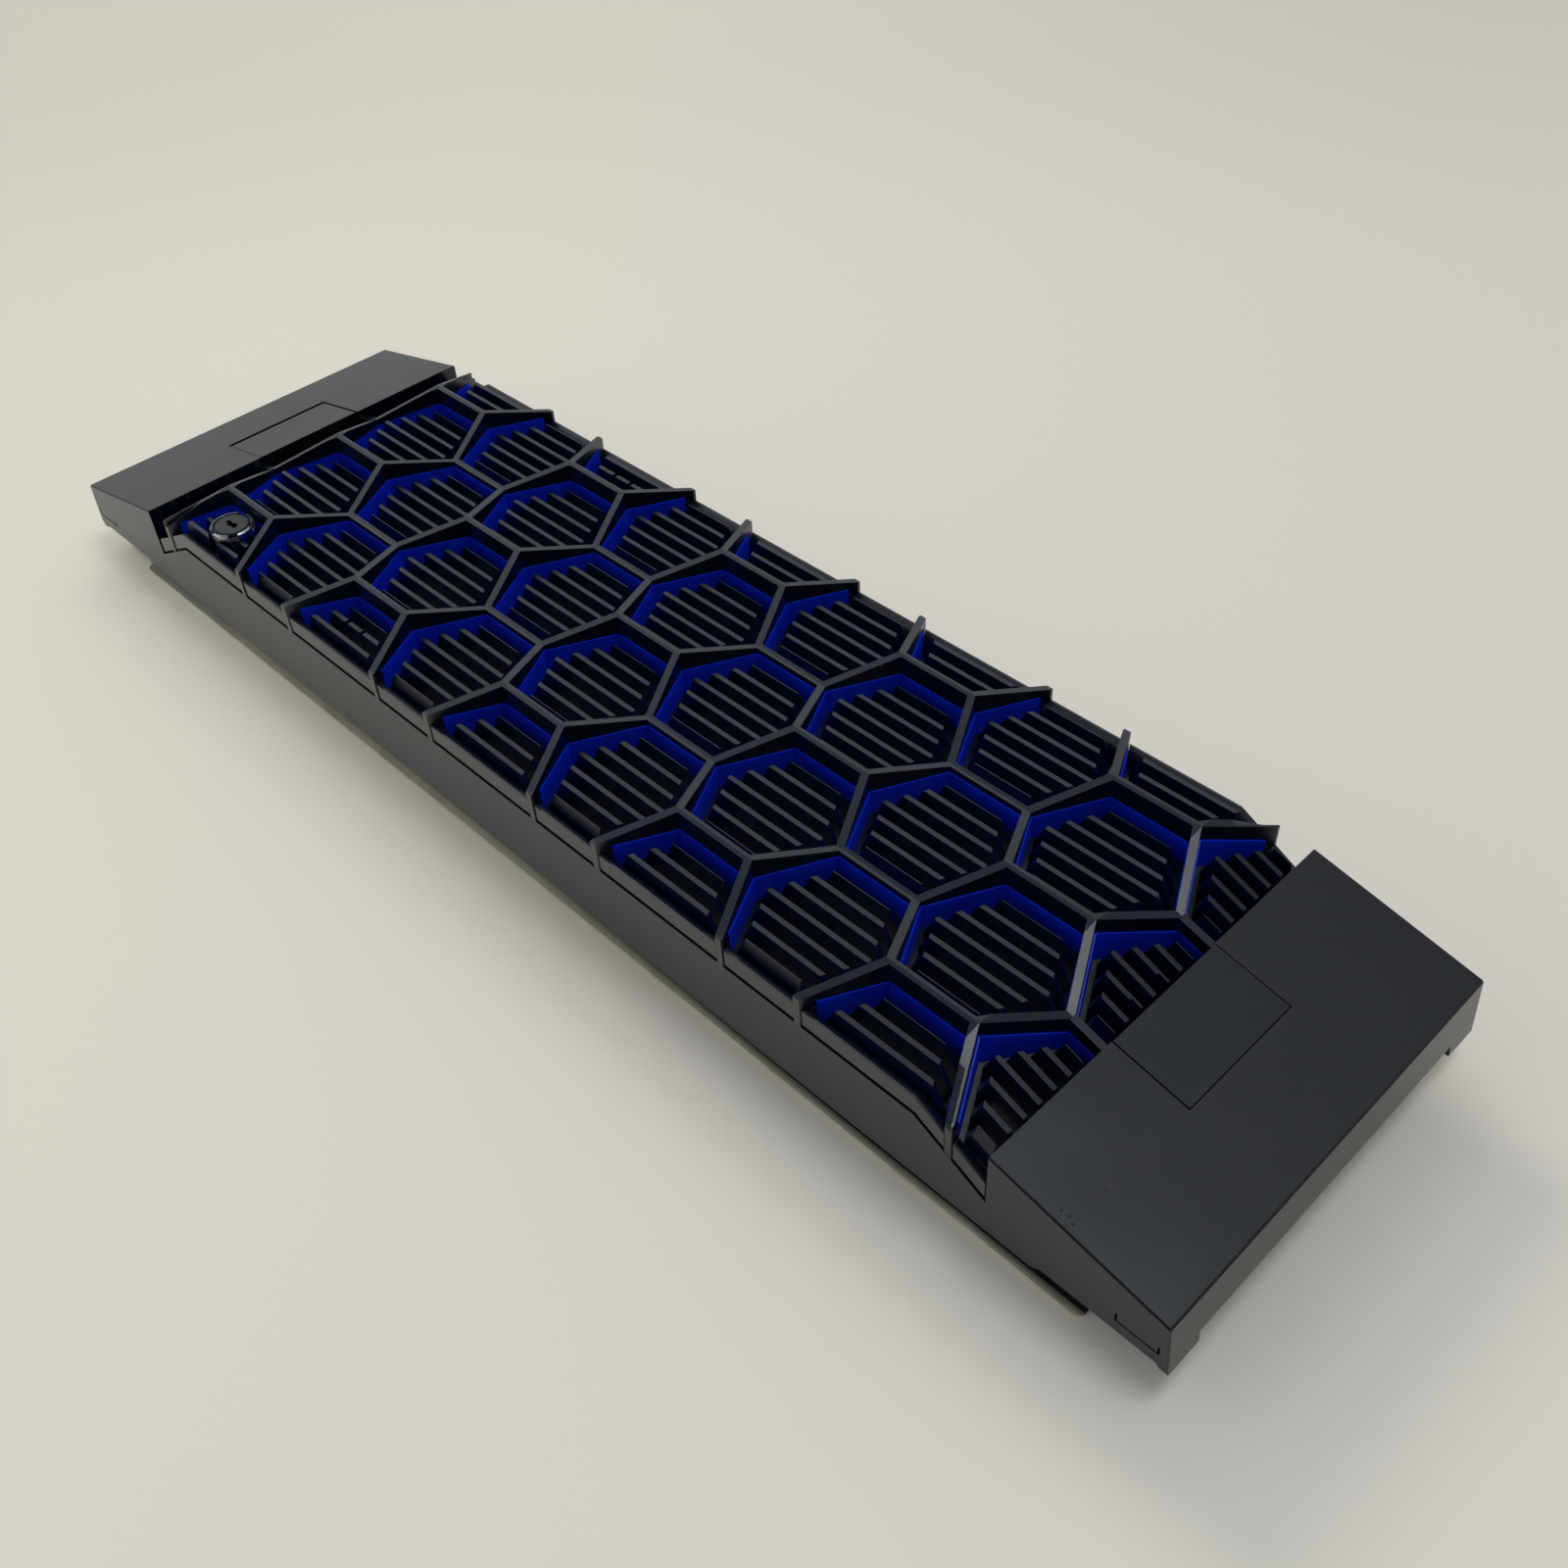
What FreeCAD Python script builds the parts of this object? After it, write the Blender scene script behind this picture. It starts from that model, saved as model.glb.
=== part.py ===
import FreeCAD, Part
import math
import os

V = FreeCAD.Vector

# Front bezel of a three-unit rack server, lying on its back: X along its length, Y up the rack, Z out of the front.
# The origin is at the middle of the plane that its steel back rests on. All sizes are in millimetres.

# Outer form
LENGTH = 482.0
HEIGHT = 131.5
WALL = 2.5
HALF_L = LENGTH / 2
HALF_H = HEIGHT / 2
WALL_INNER_Y = HALF_H - WALL

# End caps
CAP_X = 190.0
CAP_INNER_WALL = 2.2
CAP_TIP_Z = 27.5
CAP_RIDGE_Z = 39.1
CAP_SLOPE = (CAP_RIDGE_Z - CAP_TIP_Z) / (HALF_L - CAP_X)
CAP_SKIRT_Z = 11.2
CAP_END_Z = 13.0
CAP_END_LEAN = 1.3
CAP_EDGE = 0.5
FOOT_Z = 9.0
FOOT_WIDTH = 12.0
FOOT_BEVEL = 1.5
TAB_SLIT_X = (227.5, 239.6)
TAB_SLIT_Z = (15.0, 18.0)
TAB_SLIT = 0.6

# Long side walls
WALL_Z = 9.5
WALL_STEP_X = (204.5, 206.5)
SEAM_Z = 33.5
SEAM_GAP = 0.85
RIM_Z = 39.7
RIM_RECESS = 0.35
BEND_X = 167.5
RIM_SLOPE = 0.557
RIM_ROUND = [(64.8, 0.0), (63.7, 0.45), (62.7, 1.3), (62.0, 2.4)]

# Honeycomb: flat-topped hexagons, whose upper edges lie in a sheet with three pleats along the length
PITCH = 38.4
ROW = 44.0
EDGE = 27.0
BLADE = 2.3
LAST_COLUMN = 5
HIGH_Z = 48.4
LOW_Z = 43.5
END_BEND_X = 168.3
END_SLOPE = 0.33
END_RIB_X = 172.0
END_RIB_SEAM = 0.3
REBATE = (1.6, 54.0, 0.2)
FLAT_X = 179.2
BLADE_Z = 36.0
LAYER_SLOPE = 0.37

# Blue liner
LINER_Z = (34.0, 41.8)
LINER_END_DROP = 4.8
LINER_STEP = 0.38
SLOT_PLAY = 0.05
LINER_X = 187.4
LINER_Y = 61.8

# Louvre panel
SLAT_Z = 41.9
SLAT = 1.5
SLAT_PITCH = ROW / 8
SLAT_ROWS = 11
WEB_HALF = 3.0
WEB_Z = 29.0
SKIRT_Z = 27.0
PANEL_X = (187.6, 189.4)
PANEL_Y = (60.75, 63.05)
RIM_INNER_Y = 62.0
ISLAND_FOOT = 2.6
ISLAND_TOP = 5.95
RIB_PLAY = 0.25
CLIP_COLUMN = -2
CLIP_ROW = 10
CLIP_GAP = 1.6
CLIP_OFFSET = 4.0
END_NOTCH_ROW = 1
END_NOTCH_X = 184.6
END_LEAN = 0.42
END_RAISE = 1.8

# Steel backing frame
SHEET = 1.0
FLANGE = (218.0, 64.2)
PAN_WALL = (166.0, 61.2)
PAN_Z = 27.0
PAN_LEDGE = 8.0
PAN_RADIUS = 3.0
PAN_SCREW_X = (57.6, 134.4)
PAN_SCREW_Y = 55.5

# Lock in the lower left half cell
LOCK_X = -152.9
LOCK_Y = -53.1
LOCK_BOSS_R = 7.35
LOCK_BOSS_Z = 40.5
LOCK_ROOM = 1.0
COLLAR_R = 7.35
COLLAR_Z = 44.4
COLLAR_EDGE = 0.35
COLLAR_SEAT_R = 6.45
COLLAR_NOTCHES = (-100.0, -28.0, 44.0, 116.0)
NOTCH = (3.2, 42.2)
BARREL_R = 6.2
BARREL_Z = 21.5
PLUG_HEAD_R = 6.05
PLUG_HEAD_Z = (42.9, 44.4)
PLUG_R = 4.6
PLUG_Z = 20.0
RUN_PLAY = 0.05
TAIL = 5.0
TAIL_Z = 17.5
KEYWAY = (5.5, 1.5, 9.0)
CLIP_Z = (27.6, 28.9)
CLIP_GROOVE_R = 5.5
CAM_LENGTH = 22.0
CAM_R = 5.4
CAM_Z = (17.6, 19.9)

# Release button and latch in the left cap
BUTTON_X = (213.6, 190.3)
BUTTON_Y = 20.2
BUTTON_GAP = (2.2, 0.25, 0.9)
BUTTON_SKIN = 2.0
BUTTON_TRAVEL = 2.5
BUTTON_SILL_Z = 29.5
POST_X = (-208.0, -203.0)
POST_Y = 5.5
POST_Z = 21.6
LUG = (-205.0, 24.6, 1.5)
LUG_PLAY = 0.1
TRAY_X = (217.0, 193.0)
TRAY_Y = 44.0
TRAY_Z = (13.0, 15.0)
TRAY_WALL = 1.5
TRAY_WALL_Y = 34.0
TRAY_WALL_Z = 25.0
LATCH_X = (214.0, 200.0)
LATCH_Y = 31.0
LATCH_Z = (15.3, 18.2)
HOOK_Y = 25.0
HOOK_WIDTH = 6.0
HOOK_X = 221.5
CHEEK_X = (-211.0, -201.5)
CHEEK_Y = (6.0, 8.0)
CHEEK_Z = 27.6
SPRING_X = -206.5
SPRING_Y = 15.0
SPRING_Z = (15.0, 30.5)
SPRING_R = 1.9
SPRING_WIRE_R = 0.35
SPRING_TURNS = 5
SPRING_PEG_R = 1.3
SPRING_PEG = 2.5
TRAY_SCREW = (205.0, 40.0)

# Badge plate in the right cap
BADGE_X = (190.2, 212.8)
BADGE_Y = 20.6
BADGE_T = 1.2
BADGE_GAP = (0.3, 0.5, 0.35)
BADGE_PEG = (202.0, 14.0, 1.5)

# Fasteners
SCREW_R = 1.2
SCREW_HEAD_R = 2.9
SCREW_HEAD = 1.7
SCREW_HOLE_R = 1.7
SCREW_BOSS_R = 3.4

FAR = 300.0


def box(x0, x1, y0, y1, z0, z1):
    """Block between two corners, given as the ends of its three edges in any order."""
    low = V(min(x0, x1), min(y0, y1), min(z0, z1))
    return Part.makeBox(abs(x1 - x0), abs(y1 - y0), abs(z1 - z0), low)


def rod(x, y, r, z0, z1):
    """Upright cylinder."""
    return Part.makeCylinder(r, z1 - z0, V(x, y, z0))


def plan_prism(points, z0, z1):
    """Outline in plan, extruded upwards."""
    wire = Part.makePolygon([V(x, y, z0) for x, y in points + points[:1]])
    return Part.Face(wire).extrude(V(0, 0, z1 - z0))


def side_prism(points, y0, y1):
    """Outline in the XZ plane, extruded along Y."""
    wire = Part.makePolygon([V(x, y0, z) for x, z in points + points[:1]])
    return Part.Face(wire).extrude(V(0, y1 - y0, 0))


def frustum(lower, upper):
    """Solid between two outlines with parallel sides."""
    count = len(lower)
    rings = [lower, upper]
    for i in range(count):
        j = (i + 1) % count
        rings.append([lower[i], lower[j], upper[j], upper[i]])
    faces = [Part.Face(Part.makePolygon([V(*p) for p in ring + ring[:1]])) for ring in rings]
    solid = Part.Solid(Part.Shell(faces))
    if solid.Volume < 0:
        solid.reverse()
    return solid


def mirror_y(shape):
    return shape.mirror(V(0, 0, 0), V(0, 1, 0))


def mirror_x(shape):
    return shape.mirror(V(0, 0, 0), V(1, 0, 0))


def fuse(shapes):
    return shapes[0].multiFuse(shapes[1:]).removeSplitter()


def bend(x, slope):
    """How far a layer has dropped at x, once past the bend near each cap."""
    return -slope * max(0.0, abs(x) - BEND_X)


def layer(z0, z1, slope, reach, y0, y1):
    """Long flat layer between two levels, bent down at both ends."""
    stations = [-reach, -BEND_X, BEND_X, reach]
    lower = [(x, z0 + bend(x, slope)) for x in stations]
    upper = [(x, z1 + bend(x, slope)) for x in reversed(stations)]
    return side_prism(lower + upper, y0, y1)


def cells():
    """Column, centre x and centre y of each cell, with the half cells at the long edges."""
    found = []
    for column in range(-LAST_COLUMN, LAST_COLUMN + 1):
        rows = (-1.5, -0.5, 0.5, 1.5) if column % 2 == 0 else (-1.0, 0.0, 1.0)
        for row in rows:
            found.append((column, column * PITCH, row * ROW))
    return found


def hexagon(cx, cy, inset):
    """Cell outline, moved inwards from the middle of its walls."""
    run = PITCH - EDGE
    rise = ROW / 2
    tip = PITCH - EDGE / 2 - inset * math.hypot(run, rise) / rise
    top = rise - inset
    flat = tip - run / rise * top
    return [(cx - flat, cy - top), (cx + flat, cy - top), (cx + tip, cy),
            (cx + flat, cy + top), (cx - flat, cy + top), (cx - tip, cy)]


def open_hexagon(cx, cy, inset):
    """Cell outline that runs out past the long edge where the cell has no wall of its own there."""
    points = hexagon(cx, cy, inset)
    if cy <= -ROW:
        left, right = points[0], points[1]
        points = [(left[0], -HALF_H - 5), (right[0], -HALF_H - 5)] + points[1:] + [left]
    elif cy >= ROW:
        right, left = points[3], points[4]
        points = points[:4] + [(right[0], HALF_H + 5), (left[0], HALF_H + 5)] + points[4:]
    return points


def cell_prisms(inset, z0, z1):
    return [plan_prism(open_hexagon(cx, cy, inset), z0, z1) for column, cx, cy in cells()]


def net(half_wall, reach_x, reach_y):
    """Tall hexagonal net with walls twice half_wall thick, cut to a rectangle."""
    block = box(-reach_x, reach_x, -reach_y, reach_y, 0, FAR)
    return block.cut(cell_prisms(half_wall, -1, FAR + 1))


def cap_top(x):
    """Level of a cap's sloping top."""
    return CAP_TIP_Z + (HALF_L - abs(x)) * CAP_SLOPE


def cap_end(z):
    """Where the cap's end face, which leans out towards its foot, stands at a level."""
    return HALF_L + CAP_END_LEAN * (CAP_TIP_Z - z) / (CAP_TIP_Z - CAP_SKIRT_Z)


def bent_bar(points, bend_x, slope, reach):
    """Outline in the YZ plane, run along X and bent down past bend_x at both ends."""

    def run(x, length, fall):
        wire = Part.makePolygon([V(x, y, z) for y, z in points + points[:1]])
        return Part.Face(wire).extrude(V(length, 0, -fall))

    end = run(bend_x, reach - bend_x, slope * (reach - bend_x))
    return fuse([run(-bend_x, 2 * bend_x, 0), end, mirror_x(end)])


def pleats(drop):
    """All that lies below the pleated sheet: ridges over the middle and one row to each side, valleys between."""
    crest = [(step * ROW / 2, (HIGH_Z if step % 2 == 0 else LOW_Z) - drop) for step in range(-3, 4)]
    return bent_bar(crest + [(1.5 * ROW, -FAR), (-1.5 * ROW, -FAR)], END_BEND_X, END_SLOPE, CAP_X + 1)


def end_rib_rebates():
    """Bevels along the inner side of the last rib at each end, which deepen towards the long edge."""
    width, start_y, deepen = REBATE
    corner = (LAST_COLUMN - 1) * PITCH + EDGE / 2
    run = (PITCH - EDGE) / (ROW / 2)
    reach = BLADE / 2 * math.hypot(run, 1)
    inner = [(corner + run * (y - ROW) - reach, y) for y in (start_y, HALF_H + 1)]
    middle = [(x + width * math.hypot(run, 1), y) for x, y in reversed(inner)]
    fall = (HIGH_Z - LOW_Z) / (ROW / 2)

    def floor_z(x, y):
        return HIGH_Z - fall * (y - ROW) - END_SLOPE * (x - END_BEND_X) - deepen * (y - start_y)

    outline = inner + middle
    step = frustum([(x, y, floor_z(x, y)) for x, y in outline], [(x, y, FAR) for x, y in outline])
    return [step, mirror_x(step)]


def valley_flat():
    """What is taken off the short walls beside the caps, so that their tops are flat across."""
    near, far = ROW / 2 - BLADE, ROW / 2 + BLADE
    above = bent_bar([(near, LOW_Z), (far, LOW_Z), (far, FAR), (near, FAR)], END_BEND_X, END_SLOPE, CAP_X + 1)
    return above.cut(box(-FLAT_X, FLAT_X, 0, FAR, 0, 2 * FAR))


def honeycomb():
    """Blades of the grille. They stop above the louvre rim, and their ends reach down to the side walls."""
    blades = net(BLADE / 2, CAP_X + 1, HALF_H).common(pleats(0))
    step_y = (LINER_Y + RIM_INNER_Y) / 2
    inside = layer(-FAR, BLADE_Z, LAYER_SLOPE, FAR, -step_y, step_y)
    over_rim = layer(-FAR, RIM_Z + 0.1, RIM_SLOPE, FAR, step_y, WALL_INNER_Y)
    under_rib = layer(-FAR, SEAM_Z - 1, RIM_SLOPE, FAR, WALL_INNER_Y, HALF_H)
    under_end = layer(-FAR, SEAM_Z + END_RIB_SEAM, RIM_SLOPE, FAR, WALL_INNER_Y, HALF_H).cut(
        box(-END_RIB_X, END_RIB_X, -FAR, FAR, -FAR, FAR))
    edges = [over_rim, under_rib, under_end, valley_flat()] + end_rib_rebates()
    return blades.cut([inside] + edges + [mirror_y(edge) for edge in edges])


def side_wall():
    """One long side wall, with its top bent down to meet the caps."""
    drop = SEAM_Z + bend(CAP_X, RIM_SLOPE)
    right = [(WALL_STEP_X[0], WALL_Z), (WALL_STEP_X[1], CAP_SKIRT_Z), (CAP_X + 25, CAP_SKIRT_Z),
             (CAP_X + 25, drop), (CAP_X, drop), (BEND_X, SEAM_Z)]
    left = [(-x, z) for x, z in reversed(right)]
    return side_prism(right + left, -HALF_H, -WALL_INNER_Y)


def cap_block():
    """Outer form of the right cap, with its top and corner edges eased."""
    outline = [(CAP_X, CAP_SKIRT_Z), (cap_end(CAP_SKIRT_Z), CAP_SKIRT_Z), (HALF_L, CAP_TIP_Z), (CAP_X, CAP_RIDGE_Z)]
    block = side_prism(outline, -HALF_H, HALF_H)
    eased = []
    for edge in block.Edges:
        middle = edge.CenterOfMass
        side = abs(abs(middle.y) - HALF_H) < 0.01
        end = abs(middle.x - HALF_L) < 0.01
        top = middle.z > CAP_SKIRT_Z + 1
        inner = abs(middle.x - CAP_X) < 0.01
        if top and not inner and (side or end):
            eased.append(edge)
    return block.makeChamfer(CAP_EDGE, eased)


def tab_slit(y0, y1):
    """Thin U-shaped slit round a snap tab in a cap's side."""
    x0, x1 = TAB_SLIT_X
    z0, z1 = TAB_SLIT_Z
    return [box(x0, x1, y0, y1, z0, z0 + TAB_SLIT), box(x0, x0 + TAB_SLIT, y0, y1, z0, z1),
            box(x1 - TAB_SLIT, x1, y0, y1, z0, z1)]


def cap_shell():
    """Right cap: a hollow wedge that is open below, with corner feet and screw bosses."""
    x0 = CAP_X + CAP_INNER_WALL
    x1 = HALF_L - WALL
    hollow = [(x0, 0), (x1, 0), (x1, cap_top(x1) - WALL), (x0, cap_top(x0) - WALL)]
    foot_y = HALF_H - FOOT_WIDTH
    window = box(x1 - 1, FAR, -foot_y, foot_y, 0, CAP_END_Z)
    slits = tab_slit(-HALF_H - 1, -WALL_INNER_Y + 1) + tab_slit(WALL_INNER_Y - 1, HALF_H + 1)
    shell = cap_block().cut([side_prism(hollow, -WALL_INNER_Y, WALL_INNER_Y), window] + slits)
    foot_outline = [(x1, CAP_SKIRT_Z), (x1, FOOT_Z + FOOT_BEVEL), (x1 + FOOT_BEVEL, FOOT_Z),
                    (cap_end(FOOT_Z), FOOT_Z), (cap_end(CAP_SKIRT_Z), CAP_SKIRT_Z)]
    foot = side_prism(foot_outline, -HALF_H + CAP_EDGE, -foot_y)
    bosses = []
    for y in (-TRAY_SCREW[1], TRAY_SCREW[1]):
        post = rod(TRAY_SCREW[0], y, SCREW_BOSS_R, TRAY_Z[1], cap_top(TRAY_SCREW[0]) - 1)
        bosses.append(post.cut(rod(TRAY_SCREW[0], y, SCREW_R, 0, TRAY_Z[1] + 9)))
    return fuse([shell, foot, mirror_y(foot)] + bosses)


def sloped_strip(x0, x1, top_gap, thickness, half_y):
    """Strip that lies parallel to a cap's top, a stated gap below it."""
    outline = [(x, cap_top(x) - top_gap) for x in (x0, x1)]
    outline += [(x, cap_top(x) - top_gap - thickness) for x in (x1, x0)]
    return side_prism(outline, -half_y, half_y)


def bezel_frame():
    """Caps, side walls and honeycomb in one moulding."""
    right = cap_shell()
    left = mirror_x(right)
    outer, near, far = BADGE_GAP
    recess = sloped_strip(CAP_X - 5, BADGE_X[1] + outer, -1, BADGE_T + 1, BADGE_Y + (near + far) / 2)
    recess.translate(V(0, (far - near) / 2, 0))
    pegs = [rod(BADGE_PEG[0], y, BADGE_PEG[2] + 0.1, 0, FAR) for y in (-BADGE_PEG[1], BADGE_PEG[1])]
    right = right.cut([recess] + pegs)
    outer, near, far = BUTTON_GAP
    mouth = box(-BUTTON_X[0] - outer, -CAP_X + 1, -BUTTON_Y - near, BUTTON_Y + far, BUTTON_SILL_Z, FAR)
    left = left.cut(mouth)
    wall = side_wall()
    return fuse([right, left, wall, mirror_y(wall), honeycomb()])


def accent_liner():
    """Net of hexagonal tubes that line the cells, level inside, and along the pleats in the last cells. The blades
    stand in the slots along its walls."""
    tubes = net(BLADE / 2 + LINER_STEP, LINER_X, LINER_Y)
    last = [plan_prism(open_hexagon(cx, cy, 0), 0, FAR) for column, cx, cy in cells() if abs(column) == LAST_COLUMN]
    middle = tubes.cut(last).common(layer(LINER_Z[0], LINER_Z[1], LAYER_SLOPE, FAR, -FAR, FAR))
    under = layer(-FAR, LINER_Z[0], LAYER_SLOPE, FAR, -FAR, FAR)
    sheet = pleats(LINER_END_DROP)
    ends = [tubes.common(prism).common(sheet).cut(under) for prism in last]
    tubes = fuse([middle] + [solid for end in ends for solid in end.Solids])
    slots = net(BLADE / 2 + SLOT_PLAY, FAR, FAR).common(layer(BLADE_Z, FAR, LAYER_SLOPE, FAR, -FAR, FAR))
    boss_room = rod(LOCK_X, LOCK_Y, COLLAR_R + 0.2, 0, FAR)
    return tubes.cut([slots, boss_room]).removeSplitter()


def island(column, cx, cy):
    """Bevelled form that the slats of one cell follow, on a straight foot. The last columns lean with the bend."""
    last = abs(column) == LAST_COLUMN
    lean = END_LEAN if last else 0.0
    top_z = SLAT_Z + END_RAISE if last else SLAT_Z

    def ring(inset, z):
        return [(x, y, z - lean * (abs(x) - BEND_X)) for x, y in hexagon(cx, cy, inset)]

    bevel = frustum(ring(ISLAND_FOOT, LINER_Z[0]), ring(ISLAND_TOP, top_z))
    foot = frustum(ring(ISLAND_FOOT, WEB_Z + 1), ring(ISLAND_FOOT, LINER_Z[0]))
    return fuse([bevel, foot])


def slat_tops():
    """Upper parts of the slats, cut to the island of each cell."""
    inner = box(-PANEL_X[0], PANEL_X[0], -LINER_Y, LINER_Y, 0, FAR)
    lock_room = rod(LOCK_X, LOCK_Y, COLLAR_R + LOCK_ROOM, 0, FAR)
    tops = []
    for column, cx, cy in cells():
        form = island(column, cx, cy).common(inner)
        for row in range(-SLAT_ROWS, SLAT_ROWS + 1):
            y = row * SLAT_PITCH
            if abs(y - cy) > ROW / 2 - ISLAND_FOOT:
                continue
            slat = box(cx - PITCH, cx + PITCH, y - SLAT / 2, y + SLAT / 2, 0, FAR).common(form)
            if column == CLIP_COLUMN and abs(row) == CLIP_ROW:
                gaps = [box(cx + s * CLIP_OFFSET - CLIP_GAP / 2, cx + s * CLIP_OFFSET + CLIP_GAP / 2,
                            -FAR, FAR, 0, FAR) for s in (-1, 1)]
                slat = slat.cut(gaps)
            if column == LAST_COLUMN and abs(row) == END_NOTCH_ROW:
                slat = slat.cut(box(END_NOTCH_X, FAR, y - SLAT, y, 0, FAR))
            if abs(cx - LOCK_X) < 1 and cy < -ROW:
                slat = slat.cut(lock_room)
            tops.extend(slat.Solids)
    return tops


def slat_feet():
    """Full-length lower parts of the slats, level with the web that carries them."""
    feet = []
    for row in range(-SLAT_ROWS + 1, SLAT_ROWS):
        y = row * SLAT_PITCH
        feet.append(layer(WEB_Z, LINER_Z[0], LAYER_SLOPE, PANEL_X[0] + 0.5, y - SLAT / 2, y + SLAT / 2))
    return feet


def louvre_web():
    """Hexagonal web under the liner, joined all round to the panel's skirt."""
    slab = layer(WEB_Z, LINER_Z[0], LAYER_SLOPE, PANEL_X[1], -PANEL_Y[1], PANEL_Y[1])
    inner = box(-PANEL_X[0], PANEL_X[0], -PANEL_Y[0], PANEL_Y[0], 0, FAR)
    return slab.cut([prism.common(inner) for prism in cell_prisms(WEB_HALF, 0, FAR)])


def rim_rounding(openings):
    """What is taken off the rim's inner edge, between the ribs only."""
    points = [(-y, RIM_Z - drop) for y, drop in RIM_ROUND]
    inner_y = 1 - RIM_INNER_Y
    points += [(inner_y, points[-1][1]), (inner_y, RIM_Z + 1), (points[0][0], RIM_Z + 1)]
    return bent_bar(points, BEND_X, RIM_SLOPE, CAP_X).common(openings).Solids


def louvre_rim():
    """Skirt along each long side, and the lip that shows between the ribs above the seam."""
    openings = Part.makeCompound(cell_prisms(BLADE / 2 + RIB_PLAY, 0, FAR))
    rounding = rim_rounding(openings)
    skirt = layer(SKIRT_Z, LINER_Z[0], LAYER_SLOPE, PANEL_X[1], -PANEL_Y[1], -PANEL_Y[0])
    stations = [-PANEL_X[1], -BEND_X, BEND_X, PANEL_X[1]]
    lower = [(x, WEB_Z + bend(x, LAYER_SLOPE)) for x in stations]
    upper = [(x, RIM_Z + bend(x, RIM_SLOPE)) for x in reversed(stations)]
    rim = side_prism(lower + upper, -PANEL_Y[1], -RIM_INNER_Y).cut(rounding)
    lip = layer(SEAM_Z + SEAM_GAP, RIM_Z, RIM_SLOPE, PANEL_X[1], -HALF_H + RIM_RECESS, -PANEL_Y[1])
    lip = lip.common(openings).cut(rounding)
    return [skirt, mirror_y(skirt), rim, mirror_y(rim)] + lip.Solids + mirror_y(lip).Solids


def pan_screw_places():
    return [(sx * x, sy * PAN_SCREW_Y) for x in PAN_SCREW_X for sx in (-1, 1) for sy in (-1, 1)]


def louvre_panel():
    """Web, slats and rim in one moulding, with bosses for the lock and for the steel frame's screws."""
    bosses = [rod(x, y, SCREW_BOSS_R, PAN_Z, WEB_Z + 2) for x, y in pan_screw_places()]
    bosses.append(rod(LOCK_X, LOCK_Y, LOCK_BOSS_R, WEB_Z, LOCK_BOSS_Z).common(
        box(-FAR, FAR, -LINER_Y, FAR, 0, FAR)))
    panel = fuse([louvre_web()] + slat_feet() + slat_tops() + louvre_rim() + bosses)
    bores = [rod(x, y, SCREW_R, 0, WEB_Z + 1) for x, y in pan_screw_places()]
    bores.append(rod(LOCK_X, LOCK_Y, BARREL_R + RUN_PLAY, 0, FAR))
    return panel.cut(bores)


def rounded_block(half_x, half_y, radius, z0, z1):
    block = box(-half_x, half_x, -half_y, half_y, z0, z1)
    return block.makeFillet(radius, [e for e in block.Edges if abs(e.Vertexes[0].Z - e.Vertexes[1].Z) > 0.1])


def backing_pan():
    """Folded steel frame: a flange on the chassis side, an upright wall, and a ledge that the panel is screwed to."""
    wall_x, wall_y = PAN_WALL
    inner = rounded_block(wall_x - SHEET, wall_y - SHEET, PAN_RADIUS - SHEET, -1, PAN_Z + 1)
    flange = rounded_block(FLANGE[0], FLANGE[1], PAN_RADIUS, 0, SHEET)
    wall = rounded_block(wall_x, wall_y, PAN_RADIUS, 0, PAN_Z)
    ledge = rounded_block(wall_x, wall_y, PAN_RADIUS, PAN_Z - SHEET, PAN_Z).cut(
        rounded_block(wall_x - PAN_LEDGE, wall_y - PAN_LEDGE, PAN_RADIUS, 0, FAR))
    lock_room = box(-wall_x + SHEET, LOCK_X + 18, -wall_y + SHEET, LOCK_Y + 10, PAN_Z - 2 * SHEET, FAR)
    holes = [rod(x, y, SCREW_HOLE_R, PAN_Z - 2, PAN_Z + 1) for x, y in pan_screw_places()]
    return fuse([flange.cut(inner), wall.cut(inner), ledge]).cut([lock_room] + holes).removeSplitter()


def screw(x, y, seat_z, length):
    """Pan-head screw driven upwards from below."""
    head = rod(x, y, SCREW_HEAD_R, seat_z - SCREW_HEAD, seat_z)
    rim = [e for e in head.Edges if abs(e.CenterOfMass.z - (seat_z - SCREW_HEAD)) < 0.01 and e.Closed]
    head = head.makeChamfer(0.6, rim)
    recess = [box(x - 1.5, x + 1.5, y - 0.35, y + 0.35, seat_z - SCREW_HEAD - 1, seat_z - 0.7),
              box(x - 0.35, x + 0.35, y - 1.5, y + 1.5, seat_z - SCREW_HEAD - 1, seat_z - 0.7)]
    return fuse([head.cut(recess), rod(x, y, SCREW_R - 0.02, seat_z, seat_z + length)])


def backing_screws():
    return Part.makeCompound([screw(x, y, PAN_Z - SHEET, 3.5) for x, y in pan_screw_places()])


def carrier_screws():
    x, y = TRAY_SCREW
    return Part.makeCompound([screw(sx * x, sy * y, TRAY_Z[0], 9.0) for sx in (-1, 1) for sy in (-1, 1)])


def badge_plate():
    """Plain plate let into the right cap, with two pegs."""
    plate = sloped_strip(BADGE_X[0], BADGE_X[1], 0, BADGE_T, BADGE_Y)
    x, y, r = BADGE_PEG
    pegs = [rod(x, s * y, r, cap_top(x) - BADGE_T - WALL, cap_top(x) - BADGE_T / 2) for s in (-1, 1)]
    return fuse([plate] + pegs)


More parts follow.
